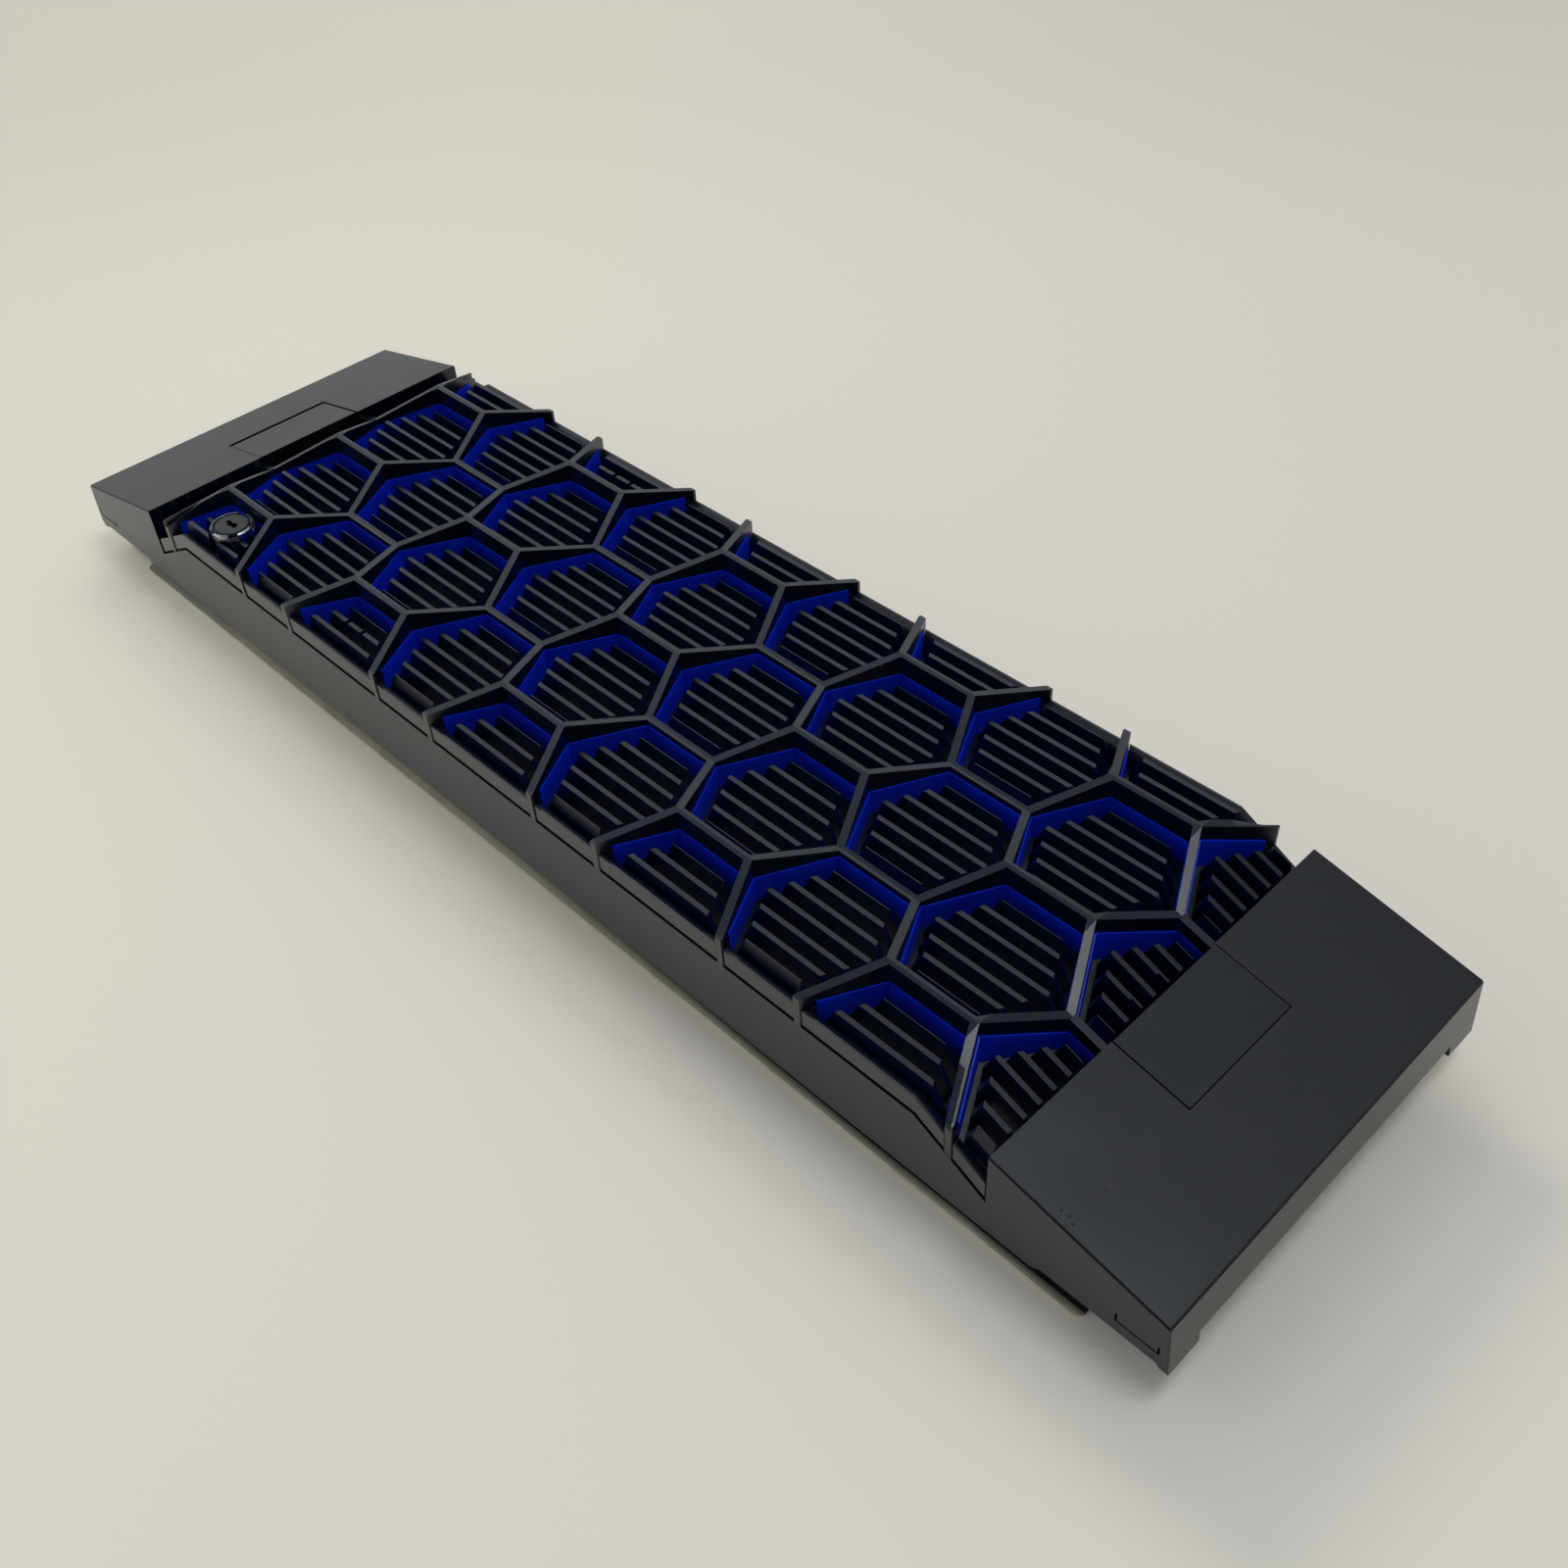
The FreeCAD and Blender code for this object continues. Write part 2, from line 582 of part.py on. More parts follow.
def lock_housing():
    """Collar with four notches in its thin rim, on a plain barrel bored for the plug."""
    collar = rod(LOCK_X, LOCK_Y, COLLAR_R, LOCK_BOSS_Z, COLLAR_Z)
    edge = [e for e in collar.Edges if e.Closed and abs(e.CenterOfMass.z - COLLAR_Z) < 0.01]
    collar = collar.makeChamfer(COLLAR_EDGE, edge)
    width, notch_z = NOTCH
    notches = []
    for turn in COLLAR_NOTCHES:
        notch = box(LOCK_X + COLLAR_SEAT_R - 0.5, LOCK_X + COLLAR_R + 2, LOCK_Y - width / 2, LOCK_Y + width / 2,
                    notch_z, FAR)
        notch.rotate(V(LOCK_X, LOCK_Y, 0), V(0, 0, 1), turn)
        notches.append(notch)
    barrel = rod(LOCK_X, LOCK_Y, BARREL_R, BARREL_Z, LOCK_BOSS_Z)
    groove = rod(LOCK_X, LOCK_Y, BARREL_R + 1, CLIP_Z[0] - RUN_PLAY, CLIP_Z[1] + RUN_PLAY).cut(
        rod(LOCK_X, LOCK_Y, CLIP_GROOVE_R, 0, FAR))
    bore = rod(LOCK_X, LOCK_Y, PLUG_R + RUN_PLAY, 0, FAR)
    seat = rod(LOCK_X, LOCK_Y, COLLAR_SEAT_R, PLUG_HEAD_Z[0] - RUN_PLAY, FAR)
    return fuse([collar.cut(notches), barrel]).cut([groove, bore, seat])


def lock_plug():
    """Turning core: a broad face with the keyway, a shaft, and a square tail for the cam."""
    head = rod(LOCK_X, LOCK_Y, PLUG_HEAD_R, PLUG_HEAD_Z[0], PLUG_HEAD_Z[1])
    rim = [e for e in head.Edges if e.Closed and abs(e.CenterOfMass.z - PLUG_HEAD_Z[1]) < 0.01]
    head = head.makeChamfer(0.4, rim)
    shaft = rod(LOCK_X, LOCK_Y, PLUG_R, PLUG_Z, PLUG_HEAD_Z[0])
    half = TAIL / 2
    tail = box(LOCK_X - half, LOCK_X + half, LOCK_Y - half, LOCK_Y + half, TAIL_Z, PLUG_Z)
    length, width, depth = KEYWAY
    floor = PLUG_HEAD_Z[1] - depth
    keyway = [box(LOCK_X - length / 2, LOCK_X + length / 2, LOCK_Y - width / 2, LOCK_Y + width / 2, floor, FAR),
              box(LOCK_X - 0.9, LOCK_X + 0.4, LOCK_Y - width / 2 - 0.6, LOCK_Y, floor, FAR),
              box(LOCK_X + 0.5, LOCK_X + 1.9, LOCK_Y, LOCK_Y + width / 2 + 0.6, floor, FAR)]
    return fuse([head, shaft, tail]).cut(keyway + [rod(LOCK_X, LOCK_Y, SCREW_R, 0, TAIL_Z + 7)])


def lock_clip():
    """Horseshoe clip in the barrel's groove, under the louvre panel's boss."""
    z0, z1 = CLIP_Z
    plate = box(LOCK_X - 9, LOCK_X + 9, LOCK_Y - BARREL_R, LOCK_Y + 7, z0, z1)
    r = CLIP_GROOVE_R + RUN_PLAY
    return plate.cut([rod(LOCK_X, LOCK_Y, r, 0, FAR), box(LOCK_X - r, LOCK_X + r, LOCK_Y, LOCK_Y + 20, 0, FAR)])


def lock_cam():
    """Flat cam with a round hub and a rounded tip, on the plug's square tail."""
    z0, z1 = CAM_Z
    tip_x = LOCK_X + CAM_LENGTH - CAM_R * 0.7
    arm = plan_prism([(LOCK_X, LOCK_Y - CAM_R), (tip_x, LOCK_Y - CAM_R * 0.7),
                      (tip_x, LOCK_Y + CAM_R * 0.7), (LOCK_X, LOCK_Y + CAM_R)], z0, z1)
    half = TAIL / 2 + 0.02
    hole = box(LOCK_X - half, LOCK_X + half, LOCK_Y - half, LOCK_Y + half, 0, FAR)
    return fuse([rod(LOCK_X, LOCK_Y, CAM_R, z0, z1), arm, rod(tip_x, LOCK_Y, CAM_R * 0.7, z0, z1)]).cut(hole)


def cam_screw():
    head = rod(LOCK_X, LOCK_Y, TAIL * 0.85, TAIL_Z - 1.8, TAIL_Z)
    slot = box(LOCK_X - 9, LOCK_X + 9, LOCK_Y - 0.5, LOCK_Y + 0.5, 0, TAIL_Z - 1.0)
    return fuse([head.cut(slot), rod(LOCK_X, LOCK_Y, SCREW_R - 0.02, TAIL_Z, TAIL_Z + 6)])


def release_button():
    """Push button: a skin level with the cap, side walls, stop lips under the cap, and the post with its lug."""
    x0, x1 = -BUTTON_X[0], -BUTTON_X[1]
    wall = TRAY_WALL
    skin = sloped_strip(x0, x1, 0, BUTTON_SKIN, BUTTON_Y)
    floor_z = TRAY_WALL_Z + BUTTON_TRAVEL + 1
    outer_wall = box(x0, x0 + wall, -BUTTON_Y, BUTTON_Y, floor_z, cap_top(x0) - 1)
    sill = BUTTON_SILL_Z + BUTTON_TRAVEL + 0.4
    inner_wall = box(x1 - wall, x1, -BUTTON_Y, BUTTON_Y, sill, cap_top(x1) - 1)
    cheek = side_prism([(x0, floor_z), (x1 - 6, floor_z), (x1 - 3, sill), (x1 - 3, cap_top(x1 - 3) - 1),
                        (x0, cap_top(x0) - 1)], BUTTON_Y - wall, BUTTON_Y)
    lip_gap = WALL + 0.35
    side_lip = sloped_strip(x0 + 2, x1 - 5, lip_gap, 1.5, BUTTON_Y + 2).cut(
        box(-FAR, FAR, -BUTTON_Y + 1, BUTTON_Y - 1, 0, FAR))
    end_lip = box(x0 - 2.8, x0 + 1, -BUTTON_Y + 2, BUTTON_Y - 2, floor_z, cap_top(x0 - 2.8) - lip_gap)
    post = side_prism([(x, POST_Z) for x in POST_X] + [(x, cap_top(x) - 1) for x in reversed(POST_X)],
                      -POST_Y, POST_Y)
    lug = Part.makeCylinder(LUG[2], 2 * CHEEK_Y[1], V(LUG[0], -CHEEK_Y[1], LUG[1]), V(0, 1, 0))
    spring_seats = []
    for y in (-SPRING_Y, SPRING_Y):
        seat_z = SPRING_Z[1]
        spring_seats.append(rod(SPRING_X, y, SPRING_R + 0.9, seat_z, cap_top(SPRING_X) - 1))
        spring_seats.append(rod(SPRING_X, y, SPRING_PEG_R, seat_z - SPRING_PEG, seat_z + 0.5))
    return fuse([skin, outer_wall, inner_wall, cheek, mirror_y(cheek), side_lip, end_lip, post, lug] + spring_seats)


def latch_hook(side):
    """Hook with a lead-in bevel on the face that meets the rack ear."""
    z0, z1 = LATCH_Z
    outline = [(-LATCH_X[0] + 1, z0), (-HOOK_X + 2, z0), (-HOOK_X, z0 + 2), (-HOOK_X, z1), (-LATCH_X[0] + 1, z1)]
    return side_prism(outline, side * HOOK_Y - HOOK_WIDTH / 2, side * HOOK_Y + HOOK_WIDTH / 2)


def lug_slot():
    """Slanted slot in which the button's lug runs: the slider moves in as far as the lug moves down."""
    x, z, r = LUG
    r = r + LUG_PLAY
    low_x, low_z = x - BUTTON_TRAVEL, z - BUTTON_TRAVEL
    ends = [Part.makeCylinder(r, FAR, V(x, -FAR / 2, z), V(0, 1, 0)),
            Part.makeCylinder(r, FAR, V(low_x, -FAR / 2, low_z), V(0, 1, 0))]
    step = r * math.sqrt(0.5)
    run = side_prism([(x - step, z + step), (x + step, z - step), (low_x + step, low_z - step),
                      (low_x - step, low_z + step)], -FAR / 2, FAR / 2)
    return ends + [run]


def latch_slider():
    """Sliding plate with two hooks, and two upright cheeks whose slots take the button's lug."""
    z0, z1 = LATCH_Z
    plate = box(-LATCH_X[0], -LATCH_X[1], -LATCH_Y, LATCH_Y, z0, z1)
    cheeks = [box(CHEEK_X[0], CHEEK_X[1], s * CHEEK_Y[0], s * CHEEK_Y[1], z0, CHEEK_Z).cut(lug_slot())
              for s in (-1, 1)]
    room = SPRING_R + SPRING_WIRE_R + 0.3
    windows = [box(SPRING_X - room - BUTTON_TRAVEL, SPRING_X + room, s * SPRING_Y - room, s * SPRING_Y + room, 0, FAR)
               for s in (-1, 1)]
    return fuse([plate, latch_hook(-1), latch_hook(1)] + cheeks).cut(windows)


def button_spring(side):
    """Compression spring between the tray's floor and the button."""
    z0 = SPRING_Z[0] + SPRING_WIRE_R + 0.02
    z1 = SPRING_Z[1] - SPRING_WIRE_R - 0.02
    path = Part.makeHelix((z1 - z0) / SPRING_TURNS, z1 - z0, SPRING_R)
    corners = [math.radians(60 * i) for i in range(7)]
    section = Part.makePolygon([V(SPRING_R + SPRING_WIRE_R * math.cos(a), 0, SPRING_WIRE_R * math.sin(a))
                                for a in corners])
    coil = Part.Wire(path).makePipeShell([section], True, True)
    coil.translate(V(SPRING_X, side * SPRING_Y, z0))
    return coil


def tray_floor():
    """Floor of the left tray and of the right bracket, shown here on the left, with its two screw holes."""
    floor = box(-TRAY_X[0], -TRAY_X[1], -TRAY_Y, TRAY_Y, TRAY_Z[0], TRAY_Z[1])
    holes = [rod(-TRAY_SCREW[0], s * TRAY_SCREW[1], SCREW_HOLE_R, 0, FAR) for s in (-1, 1)]
    return floor.cut(holes)


def latch_carrier():
    """Tray that guides the slider: walls all round, hook slots, keepers over the plate and spring pegs."""
    z1 = TRAY_Z[1]
    x0, x1 = -TRAY_X[0], -TRAY_X[1]
    outer_wall = box(x0, x0 + TRAY_WALL, -TRAY_WALL_Y, TRAY_WALL_Y, z1, TRAY_WALL_Z)
    slots = [box(x0 - 1, x0 + 3, s * HOOK_Y - HOOK_WIDTH / 2 - 0.3, s * HOOK_Y + HOOK_WIDTH / 2 + 0.3,
                 z1, LATCH_Z[1] + 0.4) for s in (-1, 1)]
    inner_wall = box(x1 - TRAY_WALL, x1, -TRAY_WALL_Y, TRAY_WALL_Y, z1, z1 + 7)
    side = box(x0, x1, LATCH_Y + 0.4, TRAY_WALL_Y, z1, z1 + 7)
    keeper = box(-LATCH_X[0] + 2, -LATCH_X[1] - 3, LATCH_Y - 1.5, LATCH_Y + 1, LATCH_Z[1] + 0.4, LATCH_Z[1] + 1.8)
    pegs = [rod(SPRING_X, s * SPRING_Y, SPRING_PEG_R, z1, z1 + SPRING_PEG) for s in (-1, 1)]
    return fuse([tray_floor(), outer_wall.cut(slots), inner_wall, side, mirror_y(side), keeper, mirror_y(keeper)]
                + pegs)


def hook_bracket():
    """Fixed hooks of the right end, on a wall with two stiffening ribs."""
    x0, x1 = TRAY_X[1], TRAY_X[0]
    z1 = TRAY_Z[1]
    wall = box(x1 - TRAY_WALL, x1, -TRAY_WALL_Y, TRAY_WALL_Y, z1, TRAY_WALL_Z)
    hooks = [mirror_x(latch_hook(s)).common(box(x1 - 1, FAR, -FAR, FAR, 0, FAR)) for s in (-1, 1)]
    ribs = [side_prism([(x0 + 4, z1), (x1, z1), (x1, TRAY_WALL_Z), (x1 - 3, TRAY_WALL_Z)],
                       s * HOOK_Y - 1, s * HOOK_Y + 1) for s in (-1, 1)]
    return fuse([mirror_x(tray_floor()), wall] + hooks + ribs)


PIECES = {
    "bezel_frame": bezel_frame,
    "accent_liner": accent_liner,
    "louvre_panel": louvre_panel,
    "badge_plate": badge_plate,
    "backing_pan": backing_pan,
    "backing_screws": backing_screws,
    "latch_carrier": latch_carrier,
    "hook_bracket": hook_bracket,
    "carrier_screws": carrier_screws,
    "lock_housing": lock_housing,
    "lock_clip": lock_clip,
    "lock_plug": lock_plug,
    "lock_cam": lock_cam,
    "cam_screw": cam_screw,
    "release_button": release_button,
    "latch_slider": latch_slider,
    "button_spring_lower": lambda: button_spring(-1),
    "button_spring_upper": lambda: button_spring(1),
}

os.makedirs("parts", exist_ok=True)
for node, make in PIECES.items():
    shape = make()
    shape.exportStep(os.path.join("parts", node + ".step"))
    print(node, len(shape.Solids), shape.isValid(), round(shape.Volume, 1))
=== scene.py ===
import math

import bpy
import numpy as np
from mathutils import Matrix, Vector


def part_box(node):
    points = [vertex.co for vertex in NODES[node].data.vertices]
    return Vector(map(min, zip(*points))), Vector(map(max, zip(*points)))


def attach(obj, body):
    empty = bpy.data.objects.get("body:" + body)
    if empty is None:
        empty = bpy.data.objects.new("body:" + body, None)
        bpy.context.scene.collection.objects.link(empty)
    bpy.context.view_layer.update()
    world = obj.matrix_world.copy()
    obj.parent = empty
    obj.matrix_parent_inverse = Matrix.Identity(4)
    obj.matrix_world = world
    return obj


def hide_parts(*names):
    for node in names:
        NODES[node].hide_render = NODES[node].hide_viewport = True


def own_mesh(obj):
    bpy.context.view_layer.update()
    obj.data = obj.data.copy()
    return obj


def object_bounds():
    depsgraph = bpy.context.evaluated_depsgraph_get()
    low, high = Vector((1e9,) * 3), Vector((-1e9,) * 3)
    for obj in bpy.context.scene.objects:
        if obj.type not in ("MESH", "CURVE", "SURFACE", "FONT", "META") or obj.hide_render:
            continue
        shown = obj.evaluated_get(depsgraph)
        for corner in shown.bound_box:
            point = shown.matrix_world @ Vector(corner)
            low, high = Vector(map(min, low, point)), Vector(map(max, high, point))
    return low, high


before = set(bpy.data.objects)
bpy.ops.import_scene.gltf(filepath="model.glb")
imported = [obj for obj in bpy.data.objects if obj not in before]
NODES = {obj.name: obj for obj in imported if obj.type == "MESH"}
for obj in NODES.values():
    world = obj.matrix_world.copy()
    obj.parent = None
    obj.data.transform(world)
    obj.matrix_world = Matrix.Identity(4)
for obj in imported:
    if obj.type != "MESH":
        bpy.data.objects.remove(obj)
CAD_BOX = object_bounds()

# Camera, from the corners of the caps and the crossings of the honeycomb in the photograph
CAMERA_PLACE = Vector((0.31713, -0.23487, 0.35654))
CAMERA_AZIMUTH = math.radians(47.922)
CAMERA_ELEVATION = math.radians(43.647)
CAMERA_ROLL = math.radians(-3.606)
CAMERA_LENS = 37.937
CAMERA_CLIP = 0.01
SENSOR = 36.0

# The level direction that the camera looks in, as its angle from X
AHEAD = math.pi / 2 + CAMERA_AZIMUTH

# Finishes, as linear colours
CAP_BLACK = (0.0084, 0.0096, 0.0130, 1)
CAP_BLACK_WORN = (0.0108, 0.0120, 0.0154, 1)
# Painted shade in the gaps round the caps' button and badge and round the plug's head
PAINTED_GAP_SHADE = (0.0008, 0.0010, 0.0016, 1)
NICK_BLACK = (0.0010, 0.0015, 0.0040, 1)
SCUFF = (0.030, 0.031, 0.034, 1)
# Painted sheen on the rim's outer face and on the rib ends above the seam
RIM_SHEEN_GREY = (0.030, 0.031, 0.032, 1)
GRILLE_BLACK = (0.0012, 0.0042, 0.0150, 1)
GRILLE_BLACK_WORN = (0.0024, 0.0054, 0.0160, 1)
LOUVRE_BLACK = (0.0012, 0.0042, 0.0130, 1)
LOUVRE_BLACK_WORN = (0.0024, 0.0056, 0.0140, 1)
# Painted blue bounce light from the liner, on the slats' upright faces
LOUVRE_BLUE_BOUNCE = (0.0012, 0.0075, 0.0420, 1)
LINER_BLUE = (0.0006, 0.0300, 0.850, 1)
LINER_BLUE_DEEP = (0.0005, 0.0250, 0.750, 1)
BADGE_SLATE = (0.0030, 0.0048, 0.0125, 1)
BADGE_SLATE_WORN = (0.0046, 0.0066, 0.0144, 1)
STEEL = (0.90, 0.86, 0.72, 1)
# Stains on the steel, also used as painted shade on the flange towards the fold; then a deeper painted shade
# at the fold, and the darkest painted shadow, in the line along it
STEEL_STAIN_AND_SHADE = (0.76, 0.70, 0.55, 1)
STEEL_FOLD_SHADE = (0.400, 0.370, 0.275, 1)
STEEL_SHADED = (0.022, 0.021, 0.019, 1)
ZINC = (0.55, 0.56, 0.58, 1)
ZINC_DULL = (0.33, 0.33, 0.34, 1)
NICKEL = (0.150, 0.150, 0.155, 1)
NICKEL_BRIGHT = (0.62, 0.62, 0.64, 1)
PLUG_GREY = (0.0060, 0.0062, 0.0070, 1)
PLUG_GREY_WORN = (0.0100, 0.0102, 0.0110, 1)
LATCH_GREY = (0.060, 0.060, 0.063, 1)
LATCH_GREY_WORN = (0.090, 0.090, 0.090, 1)
# Floor tones, painted light: paler to the camera's left, with painted shade to the right
FLOOR_PALE = (0.950, 0.873, 0.745, 1)
FLOOR_SHADE = (0.800, 0.742, 0.655, 1)
BACKDROP_PALE = (0.860, 0.872, 0.862, 1)
SKY_SEEN = (0.640, 0.615, 0.550, 1)
UNLIT = (0.0, 0.0, 0.0, 1)

# Textures, in features per metre
GLOSS_PATCHES = 35.0
STAINS = 45.0
SCUFFS = 130.0
MOTTLE = 240.0
PLATING_CLOUDS = 300.0
FLOOR_GRAIN = 700.0
STREAKS = 900.0
PLATING_GRAIN = 2000.0
PLASTIC_GRAIN = 2600.0

# Depth of the streaks' bump, in metres
STREAK_DEPTH = 0.00001

# Places where the plastic changes, in metres without sign. Each pair is the two ends of a soft step along the
# length, across the width, upwards or down from the plane of the cap's top
CAP_LENGTH = (0.1901, 0.1903)
WALL_WIDTH = (0.0654, 0.0656)
RIB_END_LENGTH = (0.1890, 0.1895)
RIB_END_WIDTH = (0.0648, 0.0650)
RIB_END_LEVEL = (0.0334, 0.0338)
RECESS_WIDTH = (0.0214, 0.0216)
RECESS_DEPTH = (0.00022, 0.00035)
RIM_WIDTH = (0.0645, 0.0650)

# Limits along the length, in metres: of the caps' recesses without sign, and of the grille's left end
RECESS_LENGTH = (0.1901, 0.2166)
LEFT_END = (-0.1901, -0.1772)

# Places where the steel sheet's painted shade changes, in metres: soft steps along the length, across the
# width without sign and upwards, and how much wider the painted shadow line at the fold is at the right
PAN_RIGHT = (-0.04, 0.16)
PAN_OUTSIDE = (0.0604, 0.0608)
PAN_LINE = (0.0612, 0.0617)
PAN_SHADE_EDGE = (0.0618, 0.0630)
PAN_TOP = (0.0013, 0.0016)
PAN_LINE_GROWTH = 0.0008

# The plane of a cap's top: its level at the outer edge, its outer edge and its slope
CAP_TOP = (0.0275, 0.241, 0.2275)

# Small dark nicks near the right cap's near edge: place along and across, and radius
NICKS = (
    (0.2086, -0.0627, 0.0006),
    (0.2082, -0.0612, 0.0004),
    (0.2106, -0.0624, 0.0006),
    (0.2124, -0.0633, 0.0007),
)

# Shares of a radius: where a nick is fully dark, and where the painted shadow at the edge of the plug's head
# begins and is full
NICK_HEART = 0.4
PLUG_SHADOW_RING = (0.90, 0.94)

# The button's return springs: radius of the wire in metres, rings to a turn and points to a ring
SPRING_NODES = ("button_spring_lower", "button_spring_upper")
SPRING_TURNS = 5
SPRING_WIRE = 0.00035
SPRING_RINGS = 40
WIRE_SIDES = 12

# Floor and backdrop, in metres, and the points on the bend between them
FLOOR_REACH = 8.0
FLOOR_FAR = 2.2
FLOOR_BEND = 1.2
FLOOR_RISE = 3.0
FLOOR_DROP = 0.0002
FLOOR_ACROSS = (-0.32, 0.32)
FLOOR_AHEAD = (0.25, 0.65)
FLOOR_SOFT = 0.010
BACKDROP_FOOT = (0.05, 0.25)
BACKDROP_HEAD = (1.2, 1.8)
SHADE_NEAR = (0.010, 0.042)
SHADE_RIGHT = (0.030, 0.070)
BEND_POINTS = 16

# The level direction that the floor's painted light changes along, as its angle from X
FLOOR_TURN = CAMERA_AZIMUTH - math.radians(18)

# Shares that are lost: of the floor's tone far ahead, as painted shade, and of its lift in the shadow at the
# left and the right
FLOOR_FADE = 0.07
SHADE_DEPTH = (0.34, 0.60)

# Radiance of the floor's and the backdrop's lift and of the sky, and the colour of daylight
FLOOR_LIFT = 0.21
WALL_LIFT = 0.16
SKY_FRONT = 0.16
SKY_LOW = 0.33
SKY_HIGH = 0.74
SKY_BACK = 0.58
DAYLIGHT = (0.93, 0.99, 1.05)

# The sky's patches: soft steps in the X, Y and Z of a direction, and along the level direction LIT_SIDE
LIT_SIDE = math.atan2(0.6, -0.8)
LIT_SIDE_STEP = (-0.45, 0.05)
LEFT_STEP = (0.0, -0.45)
LEFT_TOP = (0.90, 0.74)
BACK_STEP = (0.22, 0.48)
BACK_FOOT = (0.68, 0.80)


class Finish:
    """A principled material with its own small node tree, wired by the methods below."""

    def __init__(self, name):
        self.material = bpy.data.materials.new(name)
        self.material.use_nodes = True
        self.nodes = self.material.node_tree.nodes
        self.links = self.material.node_tree.links
        self.shader = self.nodes["Principled BSDF"]
        self.coords = self.nodes.new("ShaderNodeTexCoord").outputs["Object"]

    def set(self, **values):
        for name, value in values.items():
            self.shader.inputs[name.replace("_", " ")].default_value = value
        return self

    def feed(self, socket, source):
        self.links.new(source, self.shader.inputs[socket])

    def axis(self, name, size=False):
        """One Object coordinate in metres, or its size without its sign."""
        split = self.nodes.new("ShaderNodeSeparateXYZ")
        self.links.new(self.coords, split.inputs["Vector"])
        return self.math("ABSOLUTE", split.outputs[name]) if size else split.outputs[name]

    def along(self, angle):
        """Distance in metres along a level direction, given as its angle from X."""
        return self.math("ADD", self.math("MULTIPLY", self.axis("X"), math.cos(angle)),
                         self.math("MULTIPLY", self.axis("Y"), math.sin(angle)))

    def distance(self, x, y):
        """Distance in metres from an upright line at x and y."""
        steps = [self.math("SUBTRACT", self.axis(name), place) for name, place in (("X", x), ("Y", y))]
        return self.math("SQRT", self.math("ADD", *[self.math("MULTIPLY", step, step) for step in steps]))

    def facing(self, name):
        """How far the surface itself faces along an axis, from -1 to 1."""
        split = self.nodes.new("ShaderNodeSeparateXYZ")
        normal = self.nodes.new("ShaderNodeNewGeometry").outputs["True Normal"]
        self.links.new(normal, split.inputs["Vector"])
        return split.outputs[name]

    def math(self, operation, first, second=None):
        node = self.nodes.new("ShaderNodeMath")
        node.operation = operation
        for socket, value in zip(node.inputs, (first, second)):
            if isinstance(value, float):
                socket.default_value = value
            elif value is not None:
                self.links.new(value, socket)
        return node.outputs["Value"]

    def product(self, first, *others):
        for other in others:
            first = self.math("MULTIPLY", first, other)
        return first

    def noise(self, scale, detail=3.0, roughness=0.55, stretch=None):
        """Noise over Object coordinates at a scale in features per metre, times stretch along each axis."""
        node = self.nodes.new("ShaderNodeTexNoise")
        node.inputs["Scale"].default_value = scale
        node.inputs["Detail"].default_value = detail
        node.inputs["Roughness"].default_value = roughness
        source = self.coords
        if stretch:
            mapping = self.nodes.new("ShaderNodeMapping")
            mapping.inputs["Scale"].default_value = stretch
            self.links.new(source, mapping.inputs["Vector"])
            source = mapping.outputs["Vector"]
        self.links.new(source, node.inputs["Vector"])
        return node.outputs["Fac"]

    def ramp(self, source, low, high, out_low=0.0, out_high=1.0):
        """Soft step from out_low to out_high while a value goes from low to high. Low may be the greater."""
        node = self.nodes.new("ShaderNodeMapRange")
        node.interpolation_type = "SMOOTHSTEP"
        node.inputs["From Min"].default_value = low
        node.inputs["From Max"].default_value = high
        node.inputs["To Min"].default_value = out_low
        node.inputs["To Max"].default_value = out_high
        self.links.new(source, node.inputs["Value"])
        return node.outputs["Result"]

    def band(self, source, low, high, soft=0.0002):
        """1 where a coordinate lies between two limits, and 0 outside, with a soft step at each limit."""
        return self.product(self.ramp(source, low - soft, low), self.ramp(source, high + soft, high))

    def mix(self, factor, first, second):
        node = self.nodes.new("ShaderNodeMix")
        node.data_type = "RGBA"
        self.links.new(factor, node.inputs["Factor"])
        for socket, colour in (("A", first), ("B", second)):
            target = [s for s in node.inputs if s.name == socket and s.type == "RGBA"][0]
            if isinstance(colour, tuple):
                target.default_value = colour
            else:
                self.links.new(colour, target)
        return [s for s in node.outputs if s.type == "RGBA"][0]

    def mottled(self, base, worn):
        """Two tones of one colour in faint patches."""
        return self.mix(self.ramp(self.noise(MOTTLE, 4.0), 0.35, 0.75), base, worn)

    def stained(self, base, stain):
        """Plating with duller, darker patches."""
        return self.mix(self.ramp(self.noise(STAINS, 5.0), 0.4, 0.7), base, stain)

    def surface(self, height, depth, edge=0.0):
        """Bump of the given depth in metres, over edges eased by a radius in metres."""
        bump = self.nodes.new("ShaderNodeBump")
        bump.inputs["Strength"].default_value = 1.0
        bump.inputs["Distance"].default_value = depth
        self.links.new(height, bump.inputs["Height"])
        if edge:
            eased = self.nodes.new("ShaderNodeBevel")
            eased.samples = 4
            eased.inputs["Radius"].default_value = edge
            self.links.new(eased.outputs["Normal"], bump.inputs["Normal"])
        self.feed("Normal", bump.outputs["Normal"])

    def grained(self, gloss, depth, edge, polish=()):
        """Fine even grain of a moulded skin. Its gloss changes slowly over it, and polish gives pairs of a
        mask and of how much smoother the skin is there."""
        skin = self.ramp(self.noise(GLOSS_PATCHES, 4.0), 0.3, 0.7, *gloss)
        for mask, smoother in polish:
            skin = self.math("SUBTRACT", skin, self.math("MULTIPLY", mask, smoother))
        self.feed("Roughness", skin)
        self.surface(self.noise(PLASTIC_GRAIN, 2.0, 0.6), depth, edge)
        return self.material

